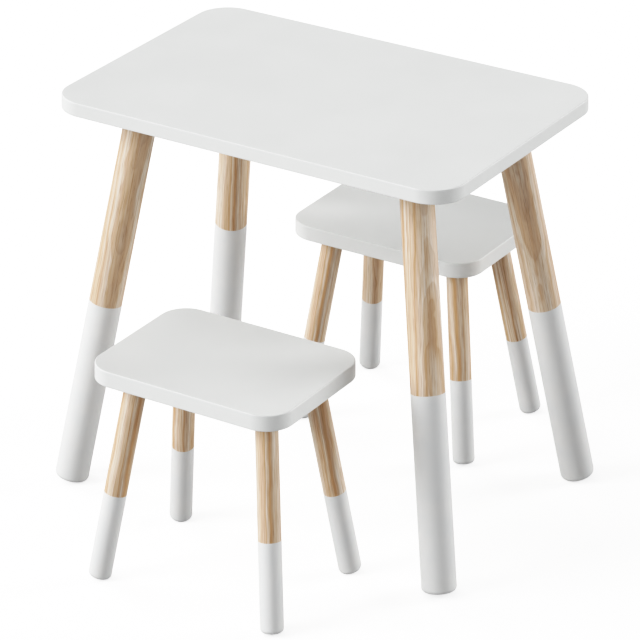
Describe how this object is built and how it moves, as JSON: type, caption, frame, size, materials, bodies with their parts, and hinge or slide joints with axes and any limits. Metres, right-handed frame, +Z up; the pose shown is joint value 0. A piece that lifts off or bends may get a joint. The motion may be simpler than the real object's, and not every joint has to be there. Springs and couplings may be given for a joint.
{
  "type": "children's play table with stools",
  "caption": "Low children's table with matching backless stools: white boards with rounded corners on leaning round timber legs with white dipped feet; the stools push in under the table.",
  "frame": {"origin": "the middle of the floor that the table and both stools cover, at floor height, with the stools standing as they do at rest", "axes": "+Z up; +X along the long side of the table; +Y from the front stool through the table to the back stool"},
  "size_m": [0.6, 0.706, 0.5],
  "materials": {
    "white_lacquered_board": "satin white lacquer sprayed on a smooth fibre board",
    "ash": "turned and sanded pale ash under a thin matt oil, the feet dipped in white",
    "zinc_plated_steel": "bright zinc plate"
  },
  "bodies": {
    "table": {"table_top": "white_lacquered_board", "table_leg_front_left": "ash", "table_leg_front_right": "ash", "table_leg_back_left": "ash", "table_leg_back_right": "ash", "table_plate_front_left": "zinc_plated_steel", "table_plate_front_right": "zinc_plated_steel", "table_plate_back_left": "zinc_plated_steel", "table_plate_back_right": "zinc_plated_steel", "table_hanger_bolts": "zinc_plated_steel", "table_plate_screws": "zinc_plated_steel"},
    "stool_front": {"stool_front_seat": "white_lacquered_board", "stool_front_leg_front_left": "ash", "stool_front_leg_front_right": "ash", "stool_front_leg_back_left": "ash", "stool_front_leg_back_right": "ash", "stool_front_plate_front_left": "zinc_plated_steel", "stool_front_plate_front_right": "zinc_plated_steel", "stool_front_plate_back_left": "zinc_plated_steel", "stool_front_plate_back_right": "zinc_plated_steel", "stool_front_hanger_bolts": "zinc_plated_steel", "stool_front_plate_screws": "zinc_plated_steel"},
    "stool_back": {"stool_back_seat": "white_lacquered_board", "stool_back_leg_front_left": "ash", "stool_back_leg_front_right": "ash", "stool_back_leg_back_left": "ash", "stool_back_leg_back_right": "ash", "stool_back_plate_front_left": "zinc_plated_steel", "stool_back_plate_front_right": "zinc_plated_steel", "stool_back_plate_back_left": "zinc_plated_steel", "stool_back_plate_back_right": "zinc_plated_steel", "stool_back_hanger_bolts": "zinc_plated_steel", "stool_back_plate_screws": "zinc_plated_steel"}
  },
  "joints": [
    {"name": "stool_front_slide", "type": "slide", "parent": "table", "child": "stool_front", "axis": [0, 1, 0], "range_m": [-0.2, 0.17]},
    {"name": "stool_back_slide", "type": "slide", "parent": "table", "child": "stool_back", "axis": [0, -1, 0], "range_m": [-0.26, 0.11]}
  ]
}
